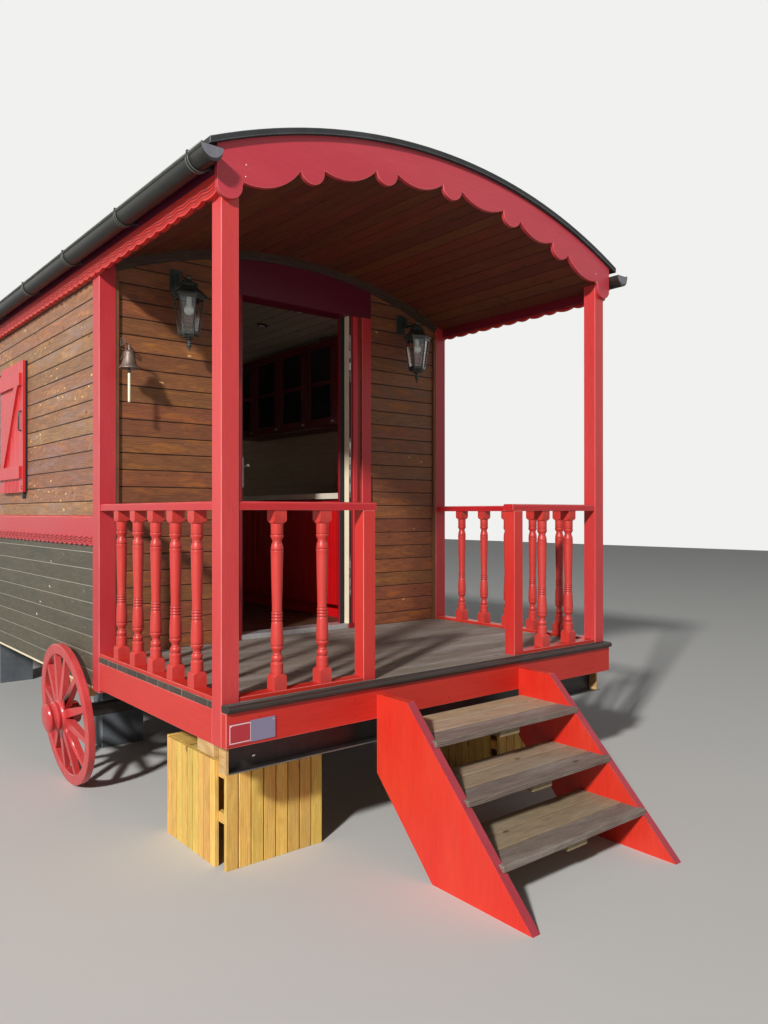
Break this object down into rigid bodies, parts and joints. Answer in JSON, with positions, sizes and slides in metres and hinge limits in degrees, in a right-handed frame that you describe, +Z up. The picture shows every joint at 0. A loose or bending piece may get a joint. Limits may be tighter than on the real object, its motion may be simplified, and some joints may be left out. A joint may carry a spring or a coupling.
{
  "type": "shepherds hut",
  "caption": "Shepherds hut on road wheels with a barrel roof, an open porch with turned balusters, plank steps and a hinged entrance door.",
  "frame": {"origin": "on the ground, midway between the gutters and midway between the foot of the steps and the rear end of the gutters", "axes": "+Z up, +Y from the porch towards the rear wall, +X to the right as seen by a person who faces the porch"},
  "size_m": [2.7936, 7.176, 3.2788],
  "materials": {
    "aluminium": "mill",
    "bell_brass": "aged",
    "black_lantern": "black gloss",
    "black_steel": "black paint",
    "bulb": "frosted",
    "concrete": "cast concrete",
    "cupboards": "satin laminate",
    "dark_nosing": "dark stain",
    "floor_boards": "oiled",
    "glass": "clear",
    "gutter": "satin paint",
    "joist_wood": "planed",
    "kitchen_fronts": "gloss laminate",
    "larch": "raw",
    "pale_boards": "pale stain",
    "porch_ceiling_boards": "brown stain",
    "red_paint": "gloss paint",
    "red_wheels": "gloss paint",
    "roofing": "mineral felt",
    "rope": "braided",
    "satin_steel": "satin",
    "stained_boards": "brown stain over knotty pine",
    "weathered_wood": "weathered",
    "worktop": "matt laminate"
  },
  "bodies": {
    "hut": {"floor": "floor_boards", "left_wall": "stained_boards", "right_wall": "stained_boards", "front_wall_left": "stained_boards", "front_wall_right": "stained_boards", "front_wall_over_door": "stained_boards", "rear_wall": "stained_boards", "porch_ceiling": "porch_ceiling_boards", "room_ceiling": "pale_boards", "roof_shell": "roofing", "front_bargeboard": "red_paint", "rear_bargeboard": "red_paint", "eave_boards": "red_paint", "gutters": "gutter", "corner_boards": "red_paint", "corner_laths": "stained_boards", "belt_rails": "red_paint", "porch_deck": "weathered_wood", "deck_nosing": "dark_nosing", "porch_rims": "red_paint", "porch_joists": "joist_wood", "rim_packers": "joist_wood", "front_fascia": "red_paint", "porch_posts": "red_paint", "porch_plates": "red_paint", "newels": "red_paint", "handrails": "red_paint", "sole_plates": "red_paint", "balusters_front": "red_paint", "balusters_side": "red_paint", "stringers": "red_paint", "treads": "weathered_wood", "tread_cleats": "joist_wood", "door_casing": "red_paint", "door_frame": "red_paint", "door_head_board": "red_paint", "threshold": "aluminium", "cornice": "porch_ceiling_boards", "hinge_pins": "satin_steel", "window_frames": "red_paint", "window_glass": "glass", "shutters": "red_paint", "kitchen_base": "kitchen_fronts", "kitchen_worktop": "worktop", "wall_cupboards": "cupboards", "wheels": "red_wheels", "axles": "black_steel", "chassis_beams": "black_steel", "end_channels": "black_steel", "support_boxes": "larch", "support_blocks": "concrete", "lanterns": "black_lantern", "lantern_glass": "glass", "lantern_bulbs": "bulb", "door_bell": "bell_brass", "bell_rope": "rope"},
    "door": {"door_leaf": "red_paint", "door_handles": "satin_steel", "hinge_flags": "satin_steel"}
  },
  "joints": [
    {"name": "door_hinge", "type": "hinge", "parent": "hut", "child": "door", "pos_m": [-0.394, -1.142, 1.8125], "axis": [0, 0, 1], "range_deg": [-60, 33]}
  ]
}
